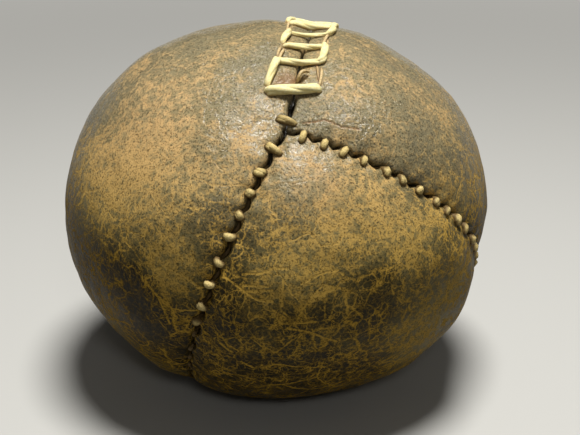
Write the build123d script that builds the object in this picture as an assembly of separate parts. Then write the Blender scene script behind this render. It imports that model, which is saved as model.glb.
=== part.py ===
from build123d import *
import os
from math import atan2, cos, degrees, hypot, radians, sin, sqrt

# An early hand-sewn baseball, standing on the flat that it has settled on.
# Millimetres, +Z up, origin at the centre of that flat, front of the ball towards -Y.

# Ball: it has settled lower than it is wide, and a belt tightness of 1 rounds its belt as an ellipse does
ball_diameter = 73.0
settling = 8.8
belt_tightness = 1.4
rest_flat_diameter = 20.0
leather_thickness = 2.2
core_diameter = 25.0
layer_gap = 0.3

# Seams: the cut between two leather edges
seam_gap = 0.5

# Where the seams run, as azimuth from the front towards +X and elevation, in degrees from the ball's centre
front_junction = (3.0, 40.0)
closing_seam_towards = (160.0, 52.5)
front_left_seam_end = (-45.0, -52.5)
front_right_seam_end = (98.5, -28.8)
back_left_seam_end = (-115.0, -45.0)
back_right_seam_end = (132.0, -52.0)

# Whip stitches of the four long seams
thread_diameter = 1.3
thread_clearance = 0.1
stitch_pitch = 3.8
stitch_edge_margin = 0.2
stitch_bend_radius = 0.8
first_stitch = 3.6
last_stitch_margin = 1.6

# Ladder lacing of the closing seam: its rungs are placed along the seam from the front junction,
# and the slant is how much further along it their right ends lie than their left ends
lace_diameter = 1.5
lace_clearance = 0.1
lace_hole_margin = 0.2
lace_bend_radius = 0.85
rung_hole_offset = 2.2
rung_stations = [6.9, 13.7, 18.6, 23.9, 29.8, 35.4, 41.1]
rung_slant = 2.2
lace_end_margin = 6.4

# Thin strand that runs beside the lace, on the rails that the lace leaves bare
return_diameter = 0.9
return_clearance = 0.1
return_bend_radius = 0.55
return_crossing_offset = 1.0

# Worked out from the sizes above. The ball's outline is a belt arc that runs into a cap arc above and below.
ball_radius = ball_diameter / 2
flattening = settling / 2
half_height = ball_radius - flattening
flat_radius = rest_flat_diameter / 2
belt_section_radius = half_height * (half_height / ball_radius) ** belt_tightness
belt_centre = ball_radius - belt_section_radius
cap_drop = flattening * (2 * belt_centre - flattening) / (2 * (belt_centre - flattening))
cap_radius = half_height + cap_drop
belt_half_angle = atan2(cap_drop, belt_centre)
centre_height = sqrt(cap_radius**2 - flat_radius**2) - cap_drop
ball_centre = Vector(0, 0, centre_height)
stitch_hole_diameter = thread_diameter + 2 * thread_clearance
stitch_hole_offset = seam_gap / 2 + stitch_edge_margin + stitch_hole_diameter / 2
lace_hole_diameter = lace_diameter + 2 * lace_clearance
lace_bite = lace_hole_diameter + lace_hole_margin
rail_hole_offset = rung_hole_offset + lace_bite
return_hole_diameter = return_diameter + 2 * return_clearance
return_step = lace_hole_diameter / 2 + return_hole_diameter / 2 + lace_hole_margin
walk_step = 0.5


def direction(azimuth, elevation):
    """Unit vector from the ball's centre at an azimuth and an elevation in degrees."""
    level = cos(radians(elevation))
    return Vector(
        level * sin(radians(azimuth)),
        -level * cos(radians(azimuth)),
        sin(radians(elevation)),
    )


def arc_centre(towards):
    """Centre and radius of the outline's arc that a direction from the ball's centre meets."""
    level = hypot(towards.X, towards.Y)
    outward = Vector(towards.X / level, towards.Y / level, 0) if level else Vector(1, 0, 0)
    belt_rim = belt_section_radius * sin(belt_half_angle)
    belt_reach = belt_centre + belt_section_radius * cos(belt_half_angle)
    if abs(towards.Z) * belt_reach < belt_rim * level:
        return outward * belt_centre, belt_section_radius
    return Vector(0, 0, -cap_drop if towards.Z > 0 else cap_drop), cap_radius


def surface_point(towards):
    """Point of the bare, unstitched ball in a direction, from its centre."""
    unit = towards.normalized()
    centre, radius = arc_centre(unit)
    reach = unit.dot(centre)
    return unit * (reach + sqrt(reach**2 - centre.dot(centre) + radius**2))


def surface_normal(point):
    """Outward unit vector of the ball's surface at one of its points."""
    centre, radius = arc_centre(point)
    return (point - centre) / radius


class Seam:
    """A seam line: the ball's surface cut by a plane through the ball's centre."""

    def __init__(self, start, towards):
        self.start = start.normalized()
        self.sideways = (towards - self.start * towards.dot(self.start)).normalized()
        self.end_angle = radians(self.start.get_angle(towards))
        self.slant = 0.0

    def direction(self, angle):
        return self.start * cos(angle) + self.sideways * sin(angle)

    def angle_at(self, along):
        """Angle from the start at a distance along the seam."""
        angle = 0.0
        steps = max(1, int(abs(along) / walk_step))
        for step in range(steps):
            angle += along / steps / surface_point(self.direction(angle)).length
        return angle

    def end_at(self, along):
        """Stops the seam at a distance from its start."""
        self.end_angle = self.angle_at(along)

    def length(self):
        steps = int(self.end_angle * ball_radius / walk_step)
        share = self.end_angle / steps
        return sum(share * surface_point(self.direction(share * (step + 0.5))).length for step in range(steps))

    def hole(self, along, across):
        """Point of the surface and its normal, at a distance along the seam and to the right of it, with its slant."""
        angle = self.angle_at(along + self.slant * across)
        middle = surface_point(self.direction(angle))
        forward = self.sideways * cos(angle) - self.start * sin(angle)
        right = forward.cross(surface_normal(middle)).normalized()
        point = surface_point(middle + right * across)
        return ball_centre + point, surface_normal(point)

    def place(self, along, across, height):
        point, normal = self.hole(along, across)
        return point + normal * height


front_point = direction(*front_junction)
closing_seam = Seam(front_point, direction(*closing_seam_towards))
closing_seam.end_at(rung_stations[-1] + lace_end_margin)
closing_seam.slant = rung_slant / (2 * rail_hole_offset)
back_point = closing_seam.direction(closing_seam.end_angle)
front_left_seam = Seam(front_point, direction(*front_left_seam_end))
front_right_seam = Seam(front_point, direction(*front_right_seam_end))
back_left_seam = Seam(back_point, direction(*back_left_seam_end))
back_right_seam = Seam(back_point, direction(*back_right_seam_end))
long_seams = {
    "front_left": front_left_seam,
    "front_right": front_right_seam,
    "back_left": back_left_seam,
    "back_right": back_right_seam,
}
all_seams = [closing_seam, *long_seams.values()]


def settled_ball(inset):
    """The ball's solid shape, this far inside its outer surface and its flat."""
    rim = degrees(belt_half_angle)
    cap_size = 90 - rim
    pole = half_height - inset
    outline = Plane.XZ * (
        CenterArc((0, cap_drop), cap_radius - inset, -90, cap_size)
        + CenterArc((belt_centre, 0), belt_section_radius - inset, -rim, 2 * rim)
        + CenterArc((0, -cap_drop), cap_radius - inset, rim, cap_size)
        + Line((0, pole), (0, -pole))
    )
    whole = Pos(ball_centre) * revolve(make_face(outline), Axis.Z)
    return split(whole, Plane.XY.offset(inset), keep=Keep.TOP)


def seam_fan(seam, width, end_margin):
    """A flat slab in the plane of a seam, fanned out from the ball's centre past its surface."""
    spokes = 8
    spoke_angle = (seam.end_angle + end_margin / ball_radius) / spokes
    rim = [seam.direction(spoke_angle * spoke) * ball_diameter for spoke in range(spokes + 1)]
    corners = [ball_centre] + [ball_centre + spoke for spoke in rim]
    return extrude(make_face(Polyline(*corners, close=True)), amount=width / 2, both=True)


def top_height(diameter, clearance, run):
    """Height of a cord's centre line over the leather, so that a straight run of it clears the ball's bulge."""
    bulge = run**2 / (8 * belt_section_radius)
    return diameter / 2 + clearance + bulge


def under_height(diameter, clearance):
    """Height of a cord's centre line where it runs under the leather, next to the winding."""
    return -(leather_thickness + clearance + diameter / 2)


def cord(points, diameter, bend_radius):
    """A round cord along straight runs with a rounded bend at each point."""
    path = FilletPolyline(*points, radius=bend_radius)
    section = Plane(path @ 0, z_dir=path % 0) * Circle(diameter / 2)
    return sweep(section, path=path)


def stitch_stations(seam):
    count = int((seam.length() - first_stitch - last_stitch_margin) / stitch_pitch)
    return [first_stitch + stitch_pitch * number for number in range(count + 1)]


def stitch_holes(seam):
    holes = []
    for station in stitch_stations(seam):
        holes += [(-stitch_hole_offset, station), (stitch_hole_offset, station)]
    return holes


def seam_thread(seam):
    """Whip stitches: over the seam, down, slanting forward under the leather and up for the next."""
    over = top_height(thread_diameter, thread_clearance, 2 * stitch_hole_offset)
    under = under_height(thread_diameter, thread_clearance)
    points = []
    for across, station in stitch_holes(seam):
        levels = [under, over] if across < 0 else [over, under]
        points += [seam.place(station, across, level) for level in levels]
    tail = seam.place(stitch_stations(seam)[-1] + stitch_pitch / 2, 0, under)
    return cord(points + [tail], thread_diameter, stitch_bend_radius)


def lace_holes():
    """Holes that the lace goes through, in order, as distances across and along the closing seam."""
    first = rung_stations[0]
    holes = [(rung_hole_offset, first), (rail_hole_offset, first)]
    for number, station in enumerate(rung_stations):
        if number % 2:
            holes += [(-rail_hole_offset, station), (-rung_hole_offset, station)]
            holes += [(rung_hole_offset, station), (rail_hole_offset, station)]
            continue
        if number:
            holes += [(rail_hole_offset, station), (rung_hole_offset, station)]
        holes += [(-rail_hole_offset, station), (-rail_hole_offset, station + lace_bite)]
    return holes


def lace_points():
    """The lace lies on the leather from each odd hole to the next even one, and under it between them."""
    holes = lace_holes()
    under = under_height(lace_diameter, lace_clearance)
    points = [closing_seam.place(holes[0][1], holes[0][0], under)]
    for number in range(1, len(holes) - 1, 2):
        (across_up, along_up), (across_down, along_down) = holes[number], holes[number + 1]
        run = hypot(along_down - along_up, across_down - across_up)
        over = top_height(lace_diameter, lace_clearance, run)
        points.append(closing_seam.place(along_up, across_up, under))
        points.append(closing_seam.place(along_up, across_up, over))
        points.append(closing_seam.place(along_down, across_down, over))
        points.append(closing_seam.place(along_down, across_down, under))
    points.append(closing_seam.place(holes[-1][1], holes[-1][0], under))
    return points


def return_runs():
    """Rails that the thin strand lies on, as a side and the two ends along the closing seam."""
    runs = []
    for number in range(len(rung_stations) - 1):
        side = -1 if number % 2 else 1
        runs.append((side, rung_stations[number] + return_step, rung_stations[number + 1] - return_step))
    return runs


def return_holes():
    """Holes that the thin strand goes through, as distances across and along the closing seam."""
    holes = []
    for side, start, end in return_runs():
        holes += [(side * rail_hole_offset, start), (side * rail_hole_offset, end)]
    return holes


def return_points():
    """The thin strand changes sides under each rung, clear of the lace's own bites."""
    under = under_height(return_diameter, return_clearance)
    points = []
    for side, start, end in return_runs():
        over = top_height(return_diameter, return_clearance, end - start)
        inner = side * return_crossing_offset
        outer = side * rail_hole_offset
        points.append(closing_seam.place(start, inner, under))
        points.append(closing_seam.place(start, outer, under))
        points.append(closing_seam.place(start, outer, over))
        points.append(closing_seam.place(end, outer, over))
        points.append(closing_seam.place(end, outer, under))
        points.append(closing_seam.place(end, inner, under))
    return points


def drill(seam, across, along, diameter):
    """A straight hole through the leather."""
    point, normal = seam.hole(along, across)
    depth = 2 * leather_thickness
    return Plane(point, z_dir=normal) * Cylinder(diameter / 2, 2 * depth)


def make_cover():
    """The leather shell, cut along its seams and holed for the stitches and the lacing."""
    cover = settled_ball(0) - settled_ball(leather_thickness)
    for seam in all_seams:
        cover = cover - seam_fan(seam, seam_gap, 0)
    for seam in long_seams.values():
        cover = cover - [drill(seam, *hole, stitch_hole_diameter) for hole in stitch_holes(seam)]
    cover = cover - [drill(closing_seam, *hole, lace_hole_diameter) for hole in lace_holes()[1:-1]]
    return cover - [drill(closing_seam, *hole, return_hole_diameter) for hole in return_holes()]


def make_channel(seam, width, cord_room):
    """The furrow that cords under the leather press into the winding along a seam."""
    return seam_fan(seam, width, layer_gap) - settled_ball(leather_thickness + cord_room + layer_gap)


def make_winding():
    """The yarn ball, with a furrow under each seam and room for the core."""
    winding = settled_ball(leather_thickness + layer_gap)
    stitch_width = 2 * stitch_hole_offset + stitch_hole_diameter + 2 * layer_gap
    for seam in long_seams.values():
        winding = winding - make_channel(seam, stitch_width, stitch_hole_diameter)
    lace_width = 2 * rail_hole_offset + lace_hole_diameter + 2 * layer_gap
    winding = winding - make_channel(closing_seam, lace_width, lace_hole_diameter)
    return winding - Pos(ball_centre) * Sphere(core_diameter / 2 + layer_gap)


parts = {
    "leather_cover": make_cover(),
    "yarn_winding": make_winding(),
    "rubber_core": Pos(ball_centre) * Sphere(core_diameter / 2),
    "closing_lace": cord(lace_points(), lace_diameter, lace_bend_radius),
    "closing_return_thread": cord(return_points(), return_diameter, return_bend_radius),
}
for seam_name, seam in long_seams.items():
    parts[seam_name + "_seam_thread"] = seam_thread(seam)

os.makedirs("parts", exist_ok=True)
for node, shape in parts.items():
    export_step(shape, f"parts/{node}.step")
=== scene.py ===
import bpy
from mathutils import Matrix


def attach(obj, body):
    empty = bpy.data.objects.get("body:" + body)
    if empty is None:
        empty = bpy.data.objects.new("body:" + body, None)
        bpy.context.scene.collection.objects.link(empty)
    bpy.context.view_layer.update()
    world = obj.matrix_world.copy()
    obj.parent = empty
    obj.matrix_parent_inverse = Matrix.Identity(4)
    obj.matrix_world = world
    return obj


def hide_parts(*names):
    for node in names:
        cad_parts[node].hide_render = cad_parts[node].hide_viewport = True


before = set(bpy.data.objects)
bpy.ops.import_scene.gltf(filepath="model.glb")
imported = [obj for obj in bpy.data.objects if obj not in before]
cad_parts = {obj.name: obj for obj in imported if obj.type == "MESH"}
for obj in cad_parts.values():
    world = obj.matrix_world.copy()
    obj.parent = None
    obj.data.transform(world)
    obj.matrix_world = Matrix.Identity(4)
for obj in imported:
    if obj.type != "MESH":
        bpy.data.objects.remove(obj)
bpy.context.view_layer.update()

import math
import random

import bpy
import numpy as np
from mathutils import Vector, noise

# Rubber core: a small solid ball of dark rubber that the yarn is wound on.
# It is moulded, dull, and pale in places where it has bloomed. The construction's own ball is kept.

bpy.ops.object.select_all(action="DESELECT")
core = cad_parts["rubber_core"]


def add_node(tree, kind, settings=None, **values):
    """A new node with its settings and inputs. An input given as a socket is linked, and in0 stands for the first."""
    node = tree.nodes.new(kind)
    for name, value in (settings or {}).items():
        setattr(node, name, value)
    for name, value in values.items():
        numbered = name[:2] == "in" and name[2:].isdigit()
        socket = node.inputs[int(name[2:]) if numbered else name.replace("_", " ")]
        if isinstance(value, bpy.types.NodeSocket):
            tree.links.new(value, socket)
        else:
            socket.default_value = value
    return node


def reckon(tree, operation, first, second, third=0.0):
    return add_node(tree, "ShaderNodeMath", {"operation": operation}, in0=first, in1=second, in2=third).outputs[0]


def eased(tree, value, low, high, start=0.0, end=1.0):
    """The value eased from start to end between a low and a high edge."""
    step = {"interpolation_type": "SMOOTHSTEP"}
    edges = {"From_Min": low, "From_Max": high, "To_Min": start, "To_Max": end}
    return add_node(tree, "ShaderNodeMapRange", step, Value=value, **edges).outputs[0]


def mixed(tree, share, first, second):
    """Two colours mixed, with share of the second."""
    return add_node(tree, "ShaderNodeMix", {"data_type": "RGBA"}, in0=share, in6=first, in7=second).outputs[2]


def clouds(tree, place, scale, detail, roughness):
    """The value of a noise, with its scale per metre."""
    values = {"Vector": place, "Scale": scale, "Detail": detail, "Roughness": roughness}
    return add_node(tree, "ShaderNodeTexNoise", **values).outputs["Fac"]


def new_material(name):
    """A new material with its tree, its shader and the object's coordinates."""
    material = bpy.data.materials.new(name)
    material.use_nodes = True
    tree = material.node_tree
    place = add_node(tree, "ShaderNodeTexCoord").outputs["Object"]
    return material, tree, tree.nodes["Principled BSDF"], place


core_rubber, tree, shader, place = new_material("core_rubber")
bloom = clouds(tree, place, 220.0, 6.0, 0.6)
bloomed = eased(tree, bloom, 0.35, 0.7)
tree.links.new(mixed(tree, bloomed, (0.018, 0.016, 0.014, 1), (0.07, 0.06, 0.05, 1)), shader.inputs["Base Color"])
tree.links.new(eased(tree, bloom, 0.3, 0.7, 0.6, 0.9), shader.inputs["Roughness"])
bump = add_node(tree, "ShaderNodeBump", Strength=0.4, Distance=0.0002, Height=bloom)
tree.links.new(bump.outputs["Normal"], shader.inputs["Normal"])
core.data.materials.clear()
core.data.materials.append(core_rubber)

# Yarn winding: grey-brown wool yarn, wound turn over turn in every direction until the ball has its size.
# It is soft, and furrowed under the seams, so its turns lie a little inside the leather.

ball_centre = Vector((0, 0, 0.030772))
ball_radius = 0.0365
half_height = 0.0321
belt_radius = 0.02682
belt_offset = ball_radius - belt_radius
cap_drop = (belt_offset**2 - (half_height - belt_radius)**2) / (2 * (half_height - belt_radius))
cap_radius = half_height + cap_drop
belt_angle = math.atan2(cap_drop, belt_offset)
belt_rim = belt_radius * math.sin(belt_angle)
belt_reach = belt_offset + belt_radius * math.cos(belt_angle)
yarn_radius = 0.0007
yarn_turns = 170
yarn_depth = 0.0047
yarn_stray = 0.0006
yarn_floor = 0.0035


def bare_reach(unit):
    """Distance from the ball's centre to its unstitched surface, for rows of unit vectors."""
    level = np.maximum(np.hypot(unit[:, 0], unit[:, 1]), 1e-9)
    on_belt = np.abs(unit[:, 2]) * belt_reach < belt_rim * level
    middle = np.zeros_like(unit)
    middle[:, :2] = np.where(on_belt[:, None], unit[:, :2] / level[:, None] * belt_offset, 0)
    middle[:, 2] = np.where(on_belt, 0, -np.sign(unit[:, 2]) * cap_drop)
    radius = np.where(on_belt, belt_radius, cap_radius)
    along = (unit * middle).sum(1)
    return along + np.sqrt(along**2 - (middle**2).sum(1) + radius**2)


def curve_to_mesh(curve, name):
    """A new object from a curve with a thickness, made a mesh."""
    piece = bpy.data.objects.new(name, curve)
    bpy.context.collection.objects.link(piece)
    bpy.ops.object.select_all(action="DESELECT")
    piece.select_set(True)
    bpy.context.view_layer.objects.active = piece
    bpy.ops.object.convert(target="MESH")
    bpy.ops.object.shade_smooth()
    return piece


def add_line(curve, line, widths=None, closed=False):
    spline = curve.splines.new("POLY")
    spline.points.add(len(line) - 1)
    spline.points.foreach_set("co", np.concatenate([line, np.ones((len(line), 1))], axis=1).ravel())
    if widths is not None:
        spline.points.foreach_set("radius", widths)
    spline.use_cyclic_u = closed


draw = random.Random(11)
yarn = bpy.data.curves.new("yarn_winding_turns", "CURVE")
yarn.dimensions = "3D"
yarn.bevel_depth = yarn_radius
yarn.bevel_resolution = 1
for turn in range(yarn_turns):
    axis = Vector((draw.gauss(0, 1), draw.gauss(0, 1), draw.gauss(0, 1))).normalized()
    first = axis.orthogonal().normalized()
    angles = np.linspace(0, 2 * math.pi, 56, endpoint=False)
    ring = np.outer(np.cos(angles), first) + np.outer(np.sin(angles), axis.cross(first))
    reach = bare_reach(ring) - yarn_depth + draw.uniform(-yarn_stray, yarn_stray)
    ring = ring * reach[:, None] + np.array(ball_centre)
    ring[:, 2] = np.maximum(ring[:, 2], yarn_floor)
    add_line(yarn, ring, closed=True)
winding = curve_to_mesh(yarn, "yarn_winding_turns")

# The look of spun fibre that the yarn, the threads and the lace share: fine fibres, shaded between them, and soil,
# which on the threads and the lace also carries painted shade.
spun_fibre = bpy.data.node_groups.new("spun_fibre", "ShaderNodeTree")
for socket, kind, value in (
    ("Clean", "NodeSocketColor", (0.8, 0.8, 0.8, 1)), ("Shade", "NodeSocketColor", (0.5, 0.5, 0.5, 1)),
    ("Dirt and Shade", "NodeSocketColor", (0.1, 0.1, 0.1, 1)), ("Soil and Shade", "NodeSocketFloat", 0.0),
    ("Fibre Scale", "NodeSocketFloat", 3000.0), ("Relief", "NodeSocketFloat", 0.0001),
):
    spun_fibre.interface.new_socket(socket, in_out="INPUT", socket_type=kind).default_value = value
spun_fibre.interface.new_socket("Colour", in_out="OUTPUT", socket_type="NodeSocketColor")
spun_fibre.interface.new_socket("Normal", in_out="OUTPUT", socket_type="NodeSocketVector")
given = spun_fibre.nodes.new("NodeGroupInput").outputs
made = spun_fibre.nodes.new("NodeGroupOutput").inputs
place = add_node(spun_fibre, "ShaderNodeTexCoord").outputs["Object"]
fibres = clouds(spun_fibre, place, given["Fibre Scale"], 4.0, 0.65)
blots = clouds(spun_fibre, place, 420.0, 5.0, 0.65)
between = eased(spun_fibre, fibres, 0.62, 0.38)
cloth = mixed(spun_fibre, between, given["Clean"], given["Shade"])
soil_and_shade_sum = reckon(spun_fibre, "ADD", given["Soil and Shade"], blots)
spun_fibre.links.new(mixed(spun_fibre, eased(spun_fibre, soil_and_shade_sum, 0.55, 1.25), cloth, given["Dirt and Shade"]), made["Colour"])
bump = add_node(spun_fibre, "ShaderNodeBump", Strength=0.7, Distance=given["Relief"], Height=fibres)
spun_fibre.links.new(bump.outputs["Normal"], made["Normal"])


def fibre_material(name, clean, shade, dirt_and_shade, soil_and_shade, fibre_scale, relief, roughness):
    """A material of spun fibre, darkened by soil and painted shade. Where that share is not given, it comes from the
    piece's own attribute of soil and painted shade.
    """
    material, tree, shader, place = new_material(name)
    fibre = tree.nodes.new("ShaderNodeGroup")
    fibre.node_tree = spun_fibre
    for socket, value in (
        ("Clean", clean), ("Shade", shade), ("Dirt and Shade", dirt_and_shade), ("Fibre Scale", fibre_scale), ("Relief", relief),
    ):
        fibre.inputs[socket].default_value = value
    if soil_and_shade is None:
        soil_and_shade = add_node(tree, "ShaderNodeAttribute", {"attribute_name": "soil_and_shade"}).outputs["Fac"]
        tree.links.new(soil_and_shade, fibre.inputs["Soil and Shade"])
    else:
        fibre.inputs["Soil and Shade"].default_value = soil_and_shade
    tree.links.new(fibre.outputs["Colour"], shader.inputs["Base Color"])
    tree.links.new(fibre.outputs["Normal"], shader.inputs["Normal"])
    shader.inputs["Roughness"].default_value = roughness
    shader.inputs["Specular IOR Level"].default_value = 0.25
    return material


wool_yarn = fibre_material(
    "wool_yarn", (0.24, 0.18, 0.12, 1), (0.12, 0.09, 0.06, 1), (0.06, 0.045, 0.03, 1), 0.1, 3200.0, 0.0002, 0.95
)
winding.data.materials.append(wool_yarn)
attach(winding, "root")
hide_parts("yarn_winding")

# Leather cover: one piece of thick hide with four petals, drawn up round the wound ball and sewn edge to edge.
# The petals pull in at the seams and puff up between the stitches, and their edges roll down into the cut.
# A dark dressing on the hide has crackled and rubbed off to tan, most on the bulges of the panels.

cut_half = 0.00045
cut_depth = 0.0021
cut_lip = 0.00022
stitched_gap = 0.00036
gap_between_stitches = 0.00016
closing_gap = 0.00018
gap_below_ladder = 0.00042
valley_width = 0.0036
valley_depth = 0.0014
pucker_offset = 0.0013
pucker_width = 0.0008
puff_height = 0.00013
pull_depth = 0.00025
seam_radius = 0.035
seam_rows = (0, 0.00022, 0.00045, 0.0008, 0.0012, 0.0018, 0.0026)


def heading(azimuth, elevation):
    """Unit vector from the ball's centre, azimuth from the front towards +X."""
    azimuth, elevation = math.radians(azimuth), math.radians(elevation)
    level = math.cos(elevation)
    return np.array((level * math.sin(azimuth), -level * math.cos(azimuth), math.sin(elevation)))


class Seam:
    """A seam line on the ball, with its stitches as distances along it."""

    def __init__(self, start, towards, length=None):
        self.start = start
        self.sideways = towards - start * towards.dot(start)
        self.sideways = self.sideways / np.linalg.norm(self.sideways)
        self.right = np.cross(self.sideways, self.start)
        self.angles = np.linspace(-0.4, 3.0, 1200)
        walk = np.cumsum(bare_reach(self.line(self.angles)) * (self.angles[1] - self.angles[0]))
        self.walk = walk - np.interp(0, self.angles, walk)
        self.length = length or float(np.interp(math.acos(start.dot(towards)), self.angles, self.walk))
        self.stitches = np.array([])
        self.sway = 0.0

    def line(self, angles):
        return np.outer(np.cos(angles), self.start) + np.outer(np.sin(angles), self.sideways)

    def locate(self, unit):
        """Distances along the seam and to the right of it, for rows of unit vectors."""
        angle = np.arctan2(unit @ self.sideways, unit @ self.start)
        return np.interp(angle, self.angles, self.walk), np.arcsin(unit @ self.right) * seam_radius

    def unit(self, along, across):
        middle = self.line(np.interp([along], self.walk, self.angles))[0]
        side = across / seam_radius
        return middle * math.cos(side) + self.right * math.sin(side)

    def past_ends(self, along):
        return np.maximum(0, np.maximum(-along, along - self.length))

    def to_stitch(self, along):
        return np.abs(along[:, None] - self.stitches[None, :]).min(1)


front_point = heading(3, 40)
closing_seam = Seam(front_point, heading(160, 52.5), 0.0475)
back_point = closing_seam.unit(closing_seam.length, 0)
front_left_seam = Seam(front_point, heading(-45, -52.5))
front_right_seam = Seam(front_point, heading(98.5, -28.8))
back_left_seam = Seam(back_point, heading(-115, -45))
back_right_seam = Seam(back_point, heading(132, -52))
front_left_seam.stitches = np.array(
    [3.9, 8.1, 11.6, 15.3, 18.8, 23.1, 26.9, 31.1, 34.6, 38.9, 43.2, 47.4, 51.5, 55.6, 59.6]
) / 1000
front_right_seam.stitches = np.array(
    [3.0, 6.4, 9.6, 13.0, 17.0, 20.2, 23.7, 27.7, 30.8, 33.7, 37.1, 41.2, 44.6, 48.2, 51.9, 55.6, 59.3, 63.0, 66.7]
) / 1000
first_stitch = 0.0036
stitch_pitch = 0.0038
last_margin = 0.0016
for seam in (back_left_seam, back_right_seam):
    seam.stitches = np.arange(first_stitch, seam.length - last_margin, stitch_pitch)
front_left_seam.sway = 0.0003
front_right_seam.sway = -0.00045
back_left_seam.sway = 0.0003
back_right_seam.sway = -0.0004
all_seams = [closing_seam, front_left_seam, front_right_seam, back_left_seam, back_right_seam]


def ease(low, high, value):
    """From 0 at the low edge to 1 at the high one."""
    share = np.clip((value - low) / (high - low), 0, 1)
    return share * share * (3 - 2 * share)


# Use has knocked the ball a little out of round: where it swells, how wide and how far.
swellings = [
    ((0.70, -0.40, -0.59), 0.42, 0.0010), ((-0.71, 0.07, 0.70), 0.36, 0.0008), ((0.81, 0.03, 0.59), 0.28, 0.0006),
    ((-0.98, -0.18, 0.0), 0.32, -0.0004), ((0.99, -0.16, 0.06), 0.24, -0.0005), ((-0.45, -0.44, -0.78), 0.30, 0.0006),
]


def ripple(unit, scale, offset):
    return np.array([noise.noise(Vector(u) * scale + Vector(offset)) for u in unit])


def skin_reach(unit):
    """Distance from the ball's centre to the sewn skin, without the cut between its edges."""
    reach = bare_reach(unit)
    for towards, width, amount in swellings:
        reach = reach + amount * np.exp(-(np.arccos(np.clip(unit @ np.array(towards), -1, 1)) / width) ** 2)
    flat = np.ones(len(unit))
    for seam in all_seams:
        along, across = seam.locate(unit)
        past = seam.past_ends(along)
        flat = flat * (1 - np.exp(-(np.hypot(across, past) / valley_width) ** 1.3))
        if len(seam.stitches):
            to_stitch = seam.to_stitch(along)
            pucker = np.exp(-((np.abs(across) - pucker_offset) / pucker_width) ** 2) * (past < 0.001)
            puffed = puff_height * ease(0.0006, 0.0018, to_stitch)
            reach = reach + pucker * (puffed - pull_depth * np.exp(-(to_stitch / 0.0009) ** 2))
    reach = reach + 0.0001 - valley_depth * (1 - flat)
    lumps, dents, folds = ripple(unit, 2.1, (3, 1, 7)), ripple(unit, 5.5, (8, 2, 1)), ripple(unit, 15, (5, 9, 4))
    return reach + 0.0005 * lumps + 0.00022 * dents + 0.00009 * folds


bpy.ops.object.select_all(action="DESELECT")
bpy.ops.mesh.primitive_cube_add(size=2)
cover = bpy.context.object
cover.name = "leather_cover_skin"
bpy.ops.object.mode_set(mode="EDIT")
bpy.ops.mesh.select_all(action="SELECT")
bpy.ops.mesh.subdivide(number_cuts=9)
bpy.ops.mesh.subdivide(number_cuts=9)
bpy.ops.object.mode_set(mode="OBJECT")


def read_points(mesh):
    points = np.zeros(len(mesh.vertices) * 3)
    mesh.vertices.foreach_get("co", points)
    return points.reshape(-1, 3)


def write_points(mesh, points):
    mesh.vertices.foreach_set("co", points.astype(np.float32).ravel())
    mesh.update()


def store_values(mesh, name, values):
    mesh.attributes.new(name, "FLOAT", "POINT").data.foreach_set("value", values.astype(np.float32))


points = np.tan(read_points(cover.data) * math.pi / 4)
unit = points / np.linalg.norm(points, axis=1)[:, None]
write_points(cover.data, np.array(ball_centre) + unit * bare_reach(unit)[:, None])

for number, seam in enumerate(all_seams):
    along, across = seam.locate(unit)
    near = (np.abs(across) < 0.0042) & (along > -0.0012) & (along < seam.length + 0.0012)
    group = cover.vertex_groups.new(name=f"seam_{number}")
    group.add([int(i) for i in np.nonzero(near)[0]], 1.0, "REPLACE")
bpy.ops.object.mode_set(mode="EDIT")
for number, seam in enumerate(all_seams):
    cover.vertex_groups.active_index = number
    for row in sorted({row * side for row in seam_rows for side in (-1, 1)}):
        bpy.ops.mesh.select_all(action="DESELECT")
        bpy.ops.object.vertex_group_select()
        bpy.ops.mesh.bisect(plane_co=ball_centre + Vector(seam.right) * row, plane_no=Vector(seam.right))
bpy.ops.object.mode_set(mode="OBJECT")
cover.vertex_groups.clear()

# A hair crack in the skin beside the front junction, where the mesh is cut finer so that it can be drawn in.
# The hide is torn and brown along it, and in three spots, each with its width in millimetres.
crack_width = 0.00016
crack_depth = 0.00014
crack_line = [(4.1, -25.0, 22.5), (5.7, -24.7, 22.5), (7.2, -24.3, 22.6)]
crack_line += [(8.4, -24.4, 22.1), (9.8, -24.6, 21.4), (12.4, -24.1, 20.8)]
crack_line = np.array(crack_line) / 1000
torn_spots = [((2.1, -18.7, 27.1), 2.4), ((3.9, -26.3, 21.3), 0.8), ((2.5, -28.2, 19.6), 0.9)]


def to_line(points, line):
    """Distance from points to a broken line."""
    nearest = np.full(len(points), 1.0)
    for start, end in zip(line[:-1], line[1:]):
        step = end - start
        share = np.clip((points - start) @ step / step.dot(step), 0, 1)
        nearest = np.minimum(nearest, np.linalg.norm(points - start - share[:, None] * step, axis=1))
    return nearest


middles = np.zeros(len(cover.data.polygons) * 3)
cover.data.polygons.foreach_get("center", middles)
near = to_line(middles.reshape(-1, 3) - np.array(ball_centre), crack_line) < 0.0012
cover.data.vertices.foreach_set("select", np.zeros(len(cover.data.vertices), bool))
cover.data.edges.foreach_set("select", np.zeros(len(cover.data.edges), bool))
cover.data.polygons.foreach_set("select", near)
bpy.ops.object.mode_set(mode="EDIT")
bpy.ops.mesh.select_mode(type="FACE")
bpy.ops.mesh.subdivide(number_cuts=3)
bpy.ops.mesh.select_mode(type="VERT")
bpy.ops.object.mode_set(mode="OBJECT")

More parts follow.
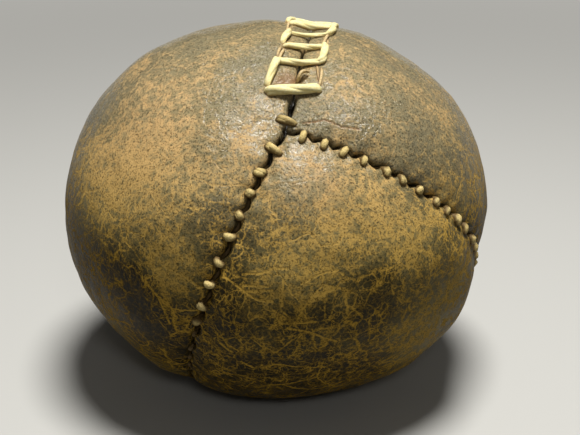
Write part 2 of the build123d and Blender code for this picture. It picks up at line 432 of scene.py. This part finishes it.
points = read_points(cover.data) - np.array(ball_centre)
unit = points / np.linalg.norm(points, axis=1)[:, None]
opened = unit.copy()
cut = np.zeros(len(unit))
for seam in all_seams:
    along, across = seam.locate(unit)
    inside = np.exp(-(seam.past_ends(along) / 0.0006) ** 2)
    apart = np.abs(across)
    if len(seam.stitches):
        between = ease(0.0004, 0.0017, seam.to_stitch(along))
        half_gap = stitched_gap + gap_between_stitches * between
        sway = seam.sway * (1 - 1.6 * between)
    else:
        half_gap = closing_gap + gap_below_ladder * np.exp(-((along - 0.0045) / 0.0022) ** 2)
        half_gap = half_gap + 0.00008 * np.sin(along / 0.0021)
        sway = 0.00025 * np.sin(along / 0.0033)
    widen = np.where(apart < cut_half, apart / cut_half, np.exp(-((apart - cut_half) / 0.0009) ** 2))
    move = np.sign(across) * (half_gap - cut_half) * widen + sway * np.exp(-(across / 0.0017) ** 2)
    opened = opened + np.outer(move * inside / seam_radius, seam.right)
    depth = cut_depth * (1 - ease(0.00015, cut_half, apart))
    lip = cut_lip * np.exp(-((apart - cut_half) / 0.0003) ** 2)
    cut = np.maximum(cut, (depth + lip) * inside)
opened = opened / np.linalg.norm(opened, axis=1)[:, None]
crack = np.exp(-(to_line(points, crack_line) / crack_width) ** 2)
points = opened * (skin_reach(opened) - cut - crack_depth * crack)[:, None]
torn = 0.75 * crack
for spot, width in torn_spots:
    apart = np.linalg.norm(points - np.array(spot) / 1000, axis=1) * 1000
    torn = np.maximum(torn, 0.8 * np.exp(-(apart / width) ** 4))
points = points + np.array(ball_centre)
points[:, 2] = np.maximum(points[:, 2], 0)
write_points(cover.data, points)
# How deep the cut is, kept for the shader, which paints shade into it.
store_values(cover.data, "cut", ease(0.0002, 0.001, cut))
store_values(cover.data, "torn", torn)
bpy.ops.object.shade_smooth()

# Where the dressing is worn and where it has stayed dark: place, width and how much.
# Places are from the ball's centre, and they and the widths are in millimetres. So are the creases.
worn_spots = [
    ((-19, -19, 21), 17, 0.40), ((-24, -22, 13), 12, 0.26), ((8, -34, 8), 9, 0.24), ((17, -31, 9), 9, 0.32),
    ((22, -29, 5), 7, 0.14), ((-1, -36, 3), 6, 0.24), ((11, -13, 28), 9, 0.12), ((27, -11, 19), 9, 0.06),
    ((20, -8, 26), 9, 0.10), ((-16, -33, 2), 4.5, 0.34), ((-13, -33, 6), 7, 0.18), ((28, -23, -3), 5, 0.22),
    ((24, -26, -11), 8, 0.40), ((4, -31, 17), 7, 0.12), ((27, -20, 12), 6, 0.16), ((30, 10, 15), 14, 0.22),
    ((-28, 14, 12), 14, 0.22), ((2, 33, 8), 14, 0.22),
]
dark_spots = [
    ((-5, -20, 26), 6, 0.10), ((21, -17, 21), 5, 0.04), ((-13, -31, 12), 6, 0.10), ((-24, -27, -4), 11, 0.16),
    ((-18, -30, -10), 10, 0.24), ((4, -32, -15), 17, 0.12), ((-17, -26, -18), 10, 0.32), ((4, -28, -22), 12, 0.32),
    ((-9, -12, 29), 6, 0.10), ((25, 20, -12), 18, 0.25), ((-20, 24, -12), 18, 0.25),
]
# A painted highlight: here, below the front junction, the leather is painted paler and greyer as sheen, and it is
# polished.
painted_sheen_spot = (4, -31, 17)
crease_lines = [
    [(-8.5, -35.4, 2.4), (-6.4, -35.9, 1.0), (-4.7, -36.2, -0.2), (-2.8, -36.3, -1.3), (-0.5, -36.4, -1.7)],
    [(-4.9, -36.0, 2.4), (-2.6, -36.3, 2.7), (-0.4, -36.3, 3.5), (1.6, -36.2, 3.5)],
    [(-4.8, -36.2, 0.7), (-1.2, -36.5, 0.8)],
    [(-4.2, -36.2, -0.2), (-0.6, -36.5, 0.2)],
    [(1.0, -36.4, 1.9), (0.9, -36.4, -2.4)],
    [(3.7, -36.3, 1.3), (5.6, -36.0, 2.2), (8.9, -35.2, 2.8)],
    [(1.7, -35.8, -5.9), (5.0, -35.2, -7.0), (9.1, -33.6, -9.4)],
    [(3.0, -35.9, -5.1), (5.7, -35.5, -5.2)],
    [(-19.4, -30.9, -0.7), (-17.5, -31.8, -3.1), (-16.9, -31.8, -5.0), (-16.2, -31.5, -7.5)],
    [(-8.5, -33.5, -10.0), (-6.7, -33.3, -11.4)],
    [(-5.3, -32.5, -13.3), (-3.6, -32.0, -14.6)],
]


def vector_reckon(tree, operation, *vectors):
    """The outputs of a sum with vectors."""
    values = {f"in{number}": vector for number, vector in enumerate(vectors)}
    return add_node(tree, "ShaderNodeVectorMath", {"operation": operation}, **values).outputs


def to_spot(tree, place, spot):
    """Distance to a spot on the ball."""
    spot_place = tuple(np.array(spot) / 1000 + np.array(ball_centre))
    return vector_reckon(tree, "DISTANCE", place, spot_place)["Value"]


crackled_leather, tree, shader, place = new_material("crackled_leather")
wander = add_node(tree, "ShaderNodeTexNoise", Vector=place, Scale=170.0, Detail=4.0, Roughness=0.6).outputs["Color"]
bent = vector_reckon(tree, "MULTIPLY_ADD", wander, (0.0035, 0.0035, 0.0035), place)[0]
patch = clouds(tree, place, 85.0, 5.0, 0.6)
mottle = clouds(tree, bent, 330.0, 6.0, 0.65)
speck = clouds(tree, bent, 1000.0, 4.0, 0.6)
grain = clouds(tree, place, 2300.0, 4.0, 0.65)
pores = clouds(tree, place, 3600.0, 2.0, 0.6)
wear = eased(tree, patch, 0.3, 0.7, 0.26, 0.62)
for spots, sign in ((worn_spots, 1), (dark_spots, -1)):
    for spot, width, strength in spots:
        worn = eased(tree, to_spot(tree, place, spot), 0.0, width * 0.0015, sign * strength, 0.0)
        wear = reckon(tree, "ADD", wear, worn)

# The dressing has rubbed thin in soft patches, and it is split by a net of fine lines that show the bare hide.
rubbed = reckon(tree, "ADD", wear, reckon(tree, "MULTIPLY_ADD", mottle, 0.8, -0.4))
rubbed = reckon(tree, "ADD", rubbed, reckon(tree, "MULTIPLY_ADD", speck, 2.0, -1.0))
rubbed = eased(tree, rubbed, 0.35, 1.2, 0.0, 0.85)
edges = {"feature": "DISTANCE_TO_EDGE"}
vein = clouds(tree, bent, 560.0, 3.0, 0.55)
net = eased(tree, reckon(tree, "ABSOLUTE", reckon(tree, "SUBTRACT", vein, 0.5), 0.0), 0.0, 0.03, 0.7, 0.0)
for scale, width, strength in ((400.0, 0.08, 1.0), (950.0, 0.13, 0.6)):
    cells = add_node(tree, "ShaderNodeTexVoronoi", edges, Vector=bent, Scale=scale).outputs["Distance"]
    net = reckon(tree, "MAXIMUM", net, eased(tree, cells, 0.0, width, strength, 0.0))
net = reckon(tree, "MULTIPLY", net, eased(tree, mottle, 0.36, 0.58, 0.3, 1.0))
net = reckon(tree, "MULTIPLY", net, eased(tree, speck, 0.36, 0.58, 0.35, 1.0))
net = reckon(tree, "MULTIPLY", net, eased(tree, wear, -0.15, 0.25, 0.25, 1.0))
long_cells = add_node(tree, "ShaderNodeTexVoronoi", edges, Vector=bent, Scale=150.0).outputs["Distance"]
creases = reckon(tree, "MULTIPLY", eased(tree, long_cells, 0.0, 0.04, 1.0, 0.0), eased(tree, patch, 0.46, 0.56))

# The long creases are drawn on the unit ball round the centre, with a slight wobble of their own.
wobble = 0.0012
bent_little = vector_reckon(tree, "MULTIPLY_ADD", wander, (wobble, wobble, wobble), place)[0]
middle = ball_centre + Vector((wobble / 2, wobble / 2, wobble / 2))
aim = vector_reckon(tree, "SUBTRACT", bent_little, middle)[0]
aim = vector_reckon(tree, "NORMALIZE", aim)[0]
to_crease = 1.0
for line in crease_lines:
    line = [Vector(point).normalized() for point in line]
    for start, end in zip(line[:-1], line[1:]):
        step = end - start
        walk = vector_reckon(tree, "SUBTRACT", aim, start)[0]
        share = vector_reckon(tree, "DOT_PRODUCT", walk, step / step.dot(step))["Value"]
        share = add_node(tree, "ShaderNodeClamp", Value=share).outputs[0]
        nearest = add_node(tree, "ShaderNodeVectorMath", {"operation": "SCALE"}, in0=step, Scale=share).outputs[0]
        apart = vector_reckon(tree, "DISTANCE", walk, nearest)["Value"]
        to_crease = reckon(tree, "MINIMUM", to_crease, apart)
creases = reckon(tree, "MAXIMUM", creases, eased(tree, to_crease, 0.0015, 0.008, 1.0, 0.0))
net = reckon(tree, "MULTIPLY", reckon(tree, "MAXIMUM", net, creases), reckon(tree, "SUBTRACT", 1.0, rubbed))

# The upper half is painted greyer, and its dressing lighter, partly dust and partly painted sheen, and handling has
# polished it. Lower down the dressing is near-black and dull, partly its own dark dressing and partly painted shade.
height = add_node(tree, "ShaderNodeSeparateXYZ", Vector=place).outputs["Z"]
dust_and_painted_light = eased(tree, height, 0.032, 0.056)
dust_and_painted_light = reckon(tree, "ADD", dust_and_painted_light, eased(tree, to_spot(tree, place, painted_sheen_spot), 0.002, 0.009, 0.35, 0.0))
dust_and_painted_light = reckon(tree, "MINIMUM", dust_and_painted_light, 1.0)
net = reckon(tree, "MULTIPLY", net, eased(tree, dust_and_painted_light, 0.0, 1.0, 1.2, 0.4))
bare = reckon(tree, "ADD", net, rubbed)
bare = reckon(tree, "ADD", bare, reckon(tree, "MULTIPLY_ADD", grain, 1.1, -0.53))
bare = eased(tree, bare, -0.05, 1.05)
handled = eased(tree, wear, 0.2, 0.85)
hide = mixed(tree, dust_and_painted_light, (0.61, 0.37, 0.061, 1), (0.49, 0.355, 0.167, 1))
hide = mixed(tree, handled, hide, mixed(tree, dust_and_painted_light, (0.58, 0.376, 0.094, 1), (0.625, 0.407, 0.183, 1)))
dressing = mixed(tree, dust_and_painted_light, (0.0085, 0.0072, 0.003, 1), (0.25, 0.222, 0.136, 1))
dressing = mixed(tree, handled, dressing, mixed(tree, dust_and_painted_light, (0.20, 0.166, 0.067, 1), (0.30, 0.245, 0.13, 1)))
colour = mixed(tree, bare, dressing, hide)
colour = mixed(tree, eased(tree, pores, 0.53, 0.30, 0.0, 0.75), colour, (0.012, 0.010, 0.0045, 1))
torn_share = add_node(tree, "ShaderNodeAttribute", {"attribute_name": "torn"}).outputs["Fac"]
torn_share = reckon(tree, "MULTIPLY", torn_share, eased(tree, mottle, 0.3, 0.6, 0.4, 1.0))
colour = mixed(tree, torn_share, colour, (0.24, 0.115, 0.05, 1))
# Down in the cut the colour goes near-black, partly the raw edges' own dark and partly painted shade in the slit.
cut_shade_share = add_node(tree, "ShaderNodeAttribute", {"attribute_name": "cut"}).outputs["Fac"]
colour = mixed(tree, cut_shade_share, colour, (0.018, 0.014, 0.007, 1))
tree.links.new(colour, shader.inputs["Base Color"])
gloss = reckon(tree, "ADD", eased(tree, bare, 0.0, 1.0, 0.22, 0.55), eased(tree, grain, 0.3, 0.7, -0.05, 0.05))
gloss = reckon(tree, "ADD", gloss, eased(tree, height, 0.030, 0.056, 0.25, -0.02))
polished = reckon(tree, "MULTIPLY", dust_and_painted_light, reckon(tree, "SUBTRACT", 1.0, handled))
gloss = reckon(tree, "MULTIPLY_ADD", polished, -0.16, gloss)
tree.links.new(gloss, shader.inputs["Roughness"])
shine = reckon(tree, "MULTIPLY", eased(tree, height, 0.030, 0.056, 0.10, 0.38), eased(tree, bare, 0.0, 1.0, 1.0, 0.4))
tree.links.new(shine, shader.inputs["Specular IOR Level"])
relief = reckon(tree, "MULTIPLY_ADD", bare, -0.25, reckon(tree, "MULTIPLY", grain, 1.2))
relief = reckon(tree, "ADD", relief, reckon(tree, "MULTIPLY", reckon(tree, "MULTIPLY", speck, 14.0), polished))
sunk = reckon(tree, "MULTIPLY", creases, -0.25)
relief = reckon(tree, "ADD", relief, reckon(tree, "MULTIPLY_ADD", mottle, 0.8, sunk))
bump = add_node(tree, "ShaderNodeBump", Strength=0.45, Distance=0.00015, Height=relief)
tree.links.new(bump.outputs["Normal"], shader.inputs["Normal"])
cover.data.materials.append(crackled_leather)
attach(cover, "root")
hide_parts("leather_cover")

# Seam threads: four lengths of waxed linen thread, each whipped over its seam at every pair of holes.
# A stitch shows as a short fat bead that sinks into the leather at both ends, where it is painted brown, partly soil
# and partly painted shade. Lower on the ball the threads are painted darker still, which is painted shade.
# Under the leather the thread slants forward to the next pair of holes.


def lay(seam, along, across, height):
    """Point over the sewn skin, at distances along a seam, to its right and out from the skin."""
    unit = seam.unit(along, across)
    return Vector(unit * (skin_reach(unit[None, :])[0] + height)) + ball_centre


def route_points(name, stops):
    """Points along the smooth route that a list of stops draws."""
    curve = bpy.data.curves.new(name, "CURVE")
    curve.dimensions = "3D"
    curve.resolution_u = 8
    spline = curve.splines.new("NURBS")
    spline.points.add(len(stops) - 1)
    for point, stop in zip(spline.points, stops):
        point.co = (*stop, 1)
    spline.order_u = 3
    spline.use_endpoint_u = True
    holder = bpy.data.objects.new(name, curve)
    bpy.context.collection.objects.link(holder)
    mesh = bpy.data.meshes.new_from_object(holder)
    found = read_points(mesh)
    bpy.data.objects.remove(holder)
    bpy.data.meshes.remove(mesh)
    return found


def twist_cord(name, stops, cord_radius, plies, lay_length, widths=None, softness=1.5):
    """A cord of twisted plies along the stops, with its width at each stop as a share of the full one.

    Plies of softness 1 just touch, and softer ones press into each other.
    """
    line = route_points(name + "_route", stops)
    widths = np.ones(len(stops)) if widths is None else np.array(widths)
    width = np.interp(np.linspace(0, 1, len(line)), np.linspace(0, 1, len(stops)), widths)
    walk = np.concatenate([[0], np.cumsum(np.linalg.norm(np.diff(line, axis=0), axis=1))])
    fresh = np.concatenate([[True], np.diff(walk) > 1e-7])
    count = int(walk[-1] / 0.00028)
    even = np.linspace(0, walk[-1], count)
    width = np.interp(even, walk[fresh], width[fresh])
    line = np.stack([np.interp(even, walk[fresh], line[fresh, k]) for k in range(3)], axis=1)
    forward = np.gradient(line, axis=0)
    forward = forward / np.linalg.norm(forward, axis=1)[:, None]
    side = np.cross(forward[0], (0.3, 0.5, 0.8))
    sides = []
    for step in range(count):
        side = side - forward[step] * side.dot(forward[step])
        side = side / np.linalg.norm(side)
        sides.append(side)
    sides = np.array(sides)
    ups = np.cross(forward, sides)
    ply_radius = cord_radius / (1 + 1 / math.sin(math.pi / plies))
    curve = bpy.data.curves.new(name, "CURVE")
    curve.dimensions = "3D"
    curve.bevel_depth = ply_radius * softness
    curve.bevel_resolution = 1
    curve.use_fill_caps = True
    for ply in range(plies):
        turn = even / lay_length * 2 * math.pi + ply * 2 * math.pi / plies
        outwards = np.cos(turn)[:, None] * sides + np.sin(turn)[:, None] * ups
        add_line(curve, line + outwards * (width * (cord_radius - softness * ply_radius))[:, None], width)
    return curve_to_mesh(curve, name)


def mark_soil_and_shade(piece, low, high, grubby=()):
    """Marks how much a cord is darkened, partly soil and partly painted shade: 1 at the low height over the skin, 0
    at the high one, with painted shade added towards the bottom of the ball.

    Grubby points, with a width, are soiled all over.
    """
    points = read_points(piece.data) - np.array(ball_centre)
    reach = np.linalg.norm(points, axis=1)
    height = reach - skin_reach(points / reach[:, None])
    soil_and_shade = 1 - ease(low, high, height) + 0.22 * (1 - ease(-0.018, 0.006, points[:, 2]))
    for spot, width in grubby:
        soil_and_shade = np.maximum(soil_and_shade, 0.42 * np.exp(-(np.linalg.norm(points - spot, axis=1) / width) ** 4))
    store_values(piece.data, "soil_and_shade", soil_and_shade)


linen_thread = fibre_material(
    "linen_thread", (0.77, 0.61, 0.26, 1), (0.54, 0.40, 0.15, 1), (0.15, 0.096, 0.034, 1), None, 3800.0, 0.00012, 0.6
)
thread_radius = 0.00072
stitch_depth = -0.0022
sunk_from = 0.036
sunk_height = -0.0009
draw = random.Random(4)
for name, seam, slide in (
    ("front_left_seam_thread", front_left_seam, 0.0003),
    ("front_right_seam_thread", front_right_seam, 0.0004),
    ("back_left_seam_thread", back_left_seam, 0.0002),
    ("back_right_seam_thread", back_right_seam, 0.0002),
):
    stops = []
    grubby = []
    stitches = [(seam, station, slide, 0.00055 - 0.0002 * min(1, station / 0.03)) for station in seam.stitches]
    if seam is front_right_seam:
        stitches[0] = (seam, seam.stitches[0], 0.0004, 0.00085)
    if seam is front_left_seam:
        stitches[0] = (seam, seam.stitches[0], 0.0001, 0.0014)
        stitches.insert(0, (closing_seam, 0.0014, -0.0002, 0.0015))
        grubby = [(np.array(lay(closing_seam, 0.0014, -0.0002, 0) - ball_centre), 0.003)]
        grubby.append((np.array(lay(seam, seam.stitches[0], -0.001, 0) - ball_centre), 0.0016))
    for line, station, middle, reach in stitches:
        reach = reach + draw.uniform(-0.0001, 0.00015)
        lean = draw.uniform(-0.00025, 0.00025)
        proud = 0.00045 + draw.uniform(-0.0002, 0.0001)
        if seam is front_left_seam and station > sunk_from:
            proud = sunk_height
        stops.append(lay(line, station - lean, middle - reach + 0.0001, stitch_depth))
        stops.append(lay(line, station - lean, middle - reach, proud - 0.0003))
        stops.append(lay(line, station, middle, proud))
        stops.append(lay(line, station + lean, middle + reach, proud - 0.0003))
        stops.append(lay(line, station + lean, middle + reach - 0.0001, stitch_depth))
    thread = twist_cord(name + "_strand", stops, thread_radius, 2, 0.009)
    mark_soil_and_shade(thread, -0.0001, 0.0009, grubby)
    thread.data.materials.append(linen_thread)
    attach(thread, "root")
    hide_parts(name)

# Closing lace: a soft cream cotton cord of three loose plies that laces the closing seam over the top like a ladder.
# It crosses the seam at each rung, runs on along one rail and comes back on the next rung.
# It lies fat where it was pulled over itself, and thin where it is stretched.

rungs = np.array([6.9, 13.7, 18.6, 23.9, 29.8, 35.4, 41.1]) / 1000
left_ends = np.array([-4.1, -3.9, -3.7, -3.5, -4.2, -3.8, -3.8]) / 1000
right_ends = np.array([3.9, 3.0, 3.2, 3.3, 3.8, 3.7, 3.7]) / 1000
rung_slant = 0.0022
rail = 0.0041
lace_radius = 0.00090
rung_widths = [0.95, 0.62, 0.60, 0.42, 0.75, 0.65, 0.65]
rail_widths = [0.80, 0.78, 0.70, 0.70, 0.65, 0.65]


def lace_stop(along, across, height):
    return lay(closing_seam, along + rung_slant * across / (2 * rail), across, height)


lace_run = [(rungs[0], 0.0022, -0.0025, 0.6), (rungs[0], right_ends[0] + 0.0002, -0.0022, 0.6)]
for number, rung in enumerate(rungs):
    ends = (left_ends, right_ends) if number % 2 else (right_ends, left_ends)
    near, far = ends[0][number], ends[1][number]
    width = rung_widths[number]
    height = width * (0.4 if number == 4 else 0.8) * lace_radius
    lace_run += [(rung, near, height * 0.7, width), (rung, near * 0.6, height, width)]
    lace_run += [(rung, 0, height + 0.0003, width)]
    lace_run += [(rung, far * 0.6, height, width), (rung, far * 0.95, height * 0.8, width)]
    if number + 1 == len(rungs):
        lace_run.append((rung, far, -0.0025, 0.6))
        continue
    following = rungs[number + 1]
    outside = math.copysign(0.0003, far)
    next_end = ends[1][number + 1]
    width = rail_widths[number]
    height = width * 0.8 * lace_radius
    if number % 2 == 0:
        lace_run += [(rung + 0.0001, far, -0.0020, 0.6), (rung + 0.0010, far + outside, -0.0020, 0.6)]
        lace_run += [(rung + 0.0014, far + outside, height * 0.4, width * 0.8)]
    else:
        lace_run += [(rung + 0.0001, far, height, width), (rung + 0.0004, far + outside, height, width)]
    lace_run += [(rung * 0.5 + following * 0.5, far * 0.5 + next_end * 0.5 + outside, height, width)]
    lace_run += [(following - 0.0004, next_end, height, width), (following - 0.0001, next_end, height, width)]
stops = [lace_stop(along, across, height) for along, across, height, width in lace_run]
widths = [width for along, across, height, width in lace_run]
cotton_lace = fibre_material(
    "cotton_lace", (0.90, 0.82, 0.47, 1), (0.85, 0.73, 0.33, 1), (0.42, 0.27, 0.11, 1), None, 2600.0, 0.00012, 0.65
)
lace = twist_cord("closing_lace_cord", stops, lace_radius, 3, 0.014, widths)
# The lace is painted darker where it lies low by the leather, partly soil and partly painted shade.
mark_soil_and_shade(lace, -0.0003, 0.0006)
lace.data.materials.append(cotton_lace)
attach(lace, "root")
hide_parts("closing_lace")

# Return thread: the thin strand that runs back on the rails that the lace leaves bare.
# It is the same cotton, split down to two plies and browned by handling.
# Its loose end stands up below the second rung.

stops = [lace_stop(0.0112, 0.0013, 0.0006), lace_stop(0.0104, 0.0004, 0.0016), lace_stop(0.0095, 0.0002, 0.0010)]
stops += [lace_stop(0.0094, 0.0005, -0.002), lace_stop(0.0082, 0.001, -0.0025)]
for number in range(len(rungs) - 1):
    ends = left_ends if number % 2 else right_ends
    start, end = rungs[number] + 0.0007, rungs[number + 1] - 0.0007
    near, far = ends[number], ends[number + 1]
    for along, across, height in (
        (start, near * 0.3, -0.0025), (start, near, -0.0025), (start - 0.0002, near, 0.0004),
        (end + 0.0002, far, 0.0004), (end, far, -0.0025), (end, far * 0.3, -0.0025),
    ):
        stops.append(lace_stop(along, across, height))
browned_cotton = fibre_material(
    "browned_cotton", (0.72, 0.57, 0.31, 1), (0.48, 0.33, 0.15, 1), (0.20, 0.12, 0.055, 1), None, 3400.0, 0.0001, 0.7
)
strand = twist_cord("closing_return_strand", stops, 0.00055, 2, 0.014, softness=0.9)
# The strand is painted darker where it lies low by the leather, partly soil and partly painted shade.
mark_soil_and_shade(strand, -0.0002, 0.0007)
strand.data.materials.append(browned_cotton)
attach(strand, "root")
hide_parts("closing_return_thread")

# Studio: a plain pale floor, one soft round lamp overhead, a weak one in front and an even dim surround.
# The floor is pale to the eye, also far from the lamps, and throws little light back up under the ball.

light_colour = (1.0, 0.98, 0.94)

bpy.ops.object.select_all(action="DESELECT")
bpy.ops.mesh.primitive_plane_add(size=12, location=(0, 0, -0.0002))
floor = bpy.context.object
floor.name = "floor"
pale_floor = bpy.data.materials.new("pale_floor")
pale_floor.use_nodes = True
tree = pale_floor.node_tree
shader = tree.nodes["Principled BSDF"]
ray = tree.nodes.new("ShaderNodeLightPath").outputs
mirrored = reckon(tree, "MAXIMUM", ray["Is Glossy Ray"], ray["Is Transmission Ray"])
seen = reckon(tree, "MAXIMUM", ray["Is Camera Ray"], mirrored)
tree.links.new(mixed(tree, seen, (0.14, 0.14, 0.12, 1), (0.55, 0.55, 0.53, 1)), shader.inputs["Base Color"])
shader.inputs["Roughness"].default_value = 0.9
place = add_node(tree, "ShaderNodeTexCoord").outputs["Object"]
away = vector_reckon(tree, "LENGTH", place)["Value"]
glow = reckon(tree, "MULTIPLY", seen, eased(tree, away, 0.12, 0.8, 0.0, 0.5))
tree.links.new(glow, shader.inputs["Emission Strength"])
shader.inputs["Emission Color"].default_value = (1.0, 0.98, 0.92, 1)
floor.data.materials.append(pale_floor)

world = bpy.data.worlds.new("surround")
world.use_nodes = True
world.node_tree.nodes["Background"].inputs["Color"].default_value = (*light_colour, 1)
world.node_tree.nodes["Background"].inputs["Strength"].default_value = 0.05
bpy.context.scene.world = world


def add_lamp(name, size, energy, location):
    """A round lamp that faces the ball."""
    lamp_data = bpy.data.lights.new(name, "AREA")
    lamp_data.shape = "DISK"
    lamp_data.size = size
    lamp_data.energy = energy
    lamp_data.color = light_colour
    lamp = bpy.data.objects.new(name, lamp_data)
    lamp.location = location
    lamp.rotation_euler = (ball_centre - lamp.location).to_track_quat("-Z", "Y").to_euler()
    bpy.context.collection.objects.link(lamp)


add_lamp("overhead_lamp", 0.15, 2.85, (0.03, -0.06, 0.47))
add_lamp("front_lamp", 0.05, 0.10, (0.03, -0.30, 0.20))

camera_data = bpy.data.cameras.new("camera")
camera_data.sensor_width = 36
camera_data.lens = 71.3
camera_data.clip_start = 0.01
camera_data.shift_x = 0.0240
camera_data.shift_y = -0.0205
camera = bpy.data.objects.new("camera", camera_data)
camera.location = (0, -0.18794, 0.09917)
camera.rotation_euler = (ball_centre - camera.location).to_track_quat("-Z", "Y").to_euler()
bpy.context.collection.objects.link(camera)
bpy.context.scene.camera = camera
bpy.context.scene.view_settings.view_transform = "Standard"
